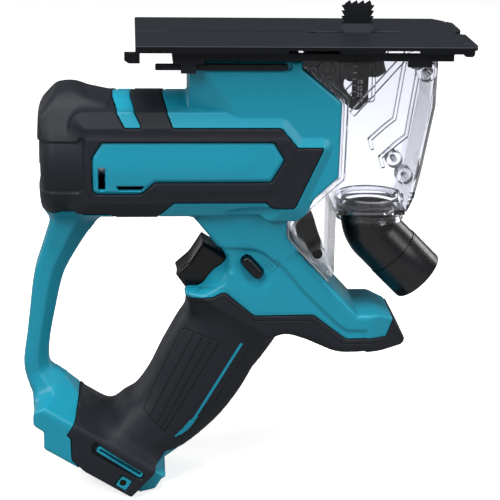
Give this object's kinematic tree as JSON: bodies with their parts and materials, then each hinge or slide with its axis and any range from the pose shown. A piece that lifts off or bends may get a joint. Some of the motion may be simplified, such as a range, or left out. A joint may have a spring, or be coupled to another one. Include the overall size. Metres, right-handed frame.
{
  "type": "drywall cut out tool",
  "caption": "Battery drywall saw: motor barrel, pistol grip with rear handle, slotted base plate, short reciprocating blade, clear dust cover and elbow nozzle.",
  "frame": {"origin": "where the blade axis passes the base plate's outer face", "axes": "+Z the way the blade points, +X towards the dust nozzle, +Y to the far side of the tool"},
  "size_m": [0.2115, 0.076, 0.2444],
  "materials": {
    "housing_plastic": "fine textured teal moulding",
    "soft_rubber": "matte soft overmould",
    "black_plastic": "satin black moulding",
    "black_steel": "black oxide sheet",
    "bright_steel": "machined",
    "ferrite": "dull",
    "copper": "enamelled wire",
    "bronze": "turned",
    "clear_plastic": "clear moulding"
  },
  "bodies": {
    "housing": {"housing_left": "housing_plastic", "housing_right": "housing_plastic", "barrel_rubber_left": "soft_rubber", "barrel_rubber_right": "soft_rubber", "grip_rubber_left": "soft_rubber", "grip_rubber_right": "soft_rubber", "housing_screws": "bright_steel", "gear_plate": "bright_steel", "motor_can": "bright_steel", "motor_magnets": "ferrite", "brush_holder": "black_plastic", "carbon_brushes": "ferrite", "front_bearing": "bright_steel", "rear_bearing": "bright_steel", "crank_bearing": "bright_steel", "upper_bush": "bronze", "lower_bush": "bronze", "scale_plate": "black_plastic", "depth_scale": "black_plastic", "switch_body": "black_plastic", "trigger_spring": "bright_steel", "terminal_block": "black_plastic", "terminal_blades": "bronze", "hook_inserts": "bronze"},
    "rotor": {"motor_shaft": "bright_steel", "armature_core": "bright_steel", "armature_winding": "copper", "commutator": "copper", "cooling_fan": "black_plastic", "pinion": "bright_steel"},
    "crank": {"crank_gear": "bright_steel", "crank_roller": "bright_steel"},
    "plunger": {"plunger": "bright_steel", "blade_holder": "black_plastic", "clamp_plate": "black_plastic", "clamp_screw": "bright_steel", "blade": "black_steel"},
    "base": {"base_plate": "black_steel", "base_bracket": "black_steel", "guide_posts": "bright_steel", "base_screws": "bright_steel"},
    "depth_lock": {"depth_lock": "black_steel"},
    "trigger": {"trigger": "black_plastic"},
    "lock_button": {"lock_button": "black_plastic"},
    "dust_cover": {"dust_cover": "clear_plastic", "latch_pin": "black_steel"},
    "cover_latch": {"cover_latch": "black_plastic"},
    "nozzle": {"nozzle_seal": "soft_rubber", "dust_nozzle": "black_plastic"}
  },
  "joints": [
    {"name": "motor_spin", "type": "hinge", "parent": "housing", "child": "rotor", "pos_m": [-0.1, 0, -0.0593], "axis": [1, 0, 0], "continuous": true},
    {"name": "crank_spin", "type": "hinge", "parent": "housing", "child": "crank", "pos_m": [-0.032, 0, -0.0437], "axis": [1, 0, 0], "continuous": true},
    {"name": "blade_stroke", "type": "slide", "parent": "housing", "child": "plunger", "axis": [0, 0, 1], "range_m": [-0.003, 0.003]},
    {"name": "base_depth", "type": "slide", "parent": "housing", "child": "base", "axis": [0, 0, 1], "range_m": [0, 0.015]},
    {"name": "depth_lock_slide", "type": "slide", "parent": "housing", "child": "depth_lock", "axis": [-1, 0, 0], "range_m": [0, 0.008]},
    {"name": "trigger_pull", "type": "slide", "parent": "housing", "child": "trigger", "axis": [0.829, 0, -0.5592], "range_m": [0, 0.006], "stiffness_N_per_m": 600, "springref_m": -0.003, "deforming": ["trigger_spring"]},
    {"name": "lock_push", "type": "slide", "parent": "housing", "child": "lock_button", "axis": [0, 1, 0], "range_m": [0, 0.004]},
    {"name": "cover_pull", "type": "slide", "parent": "housing", "child": "dust_cover", "axis": [1, 0, 0], "range_m": [0, 0.05]},
    {"name": "latch_swing", "type": "hinge", "parent": "dust_cover", "child": "cover_latch", "pos_m": [-0.018, 0, -0.1037], "axis": [0, 1, 0], "range_deg": [-7, 0], "stiffness_Nm_per_rad": 0.05},
    {"name": "nozzle_swivel", "type": "hinge", "parent": "dust_cover", "child": "nozzle", "pos_m": [0.0095, 0, -0.085], "axis": [0, 0, 1], "range_deg": [-40, 40]}
  ],
  "couplings": [
    {"joint": "crank_spin", "follows": "motor_spin", "ratio": -0.3}
  ]
}
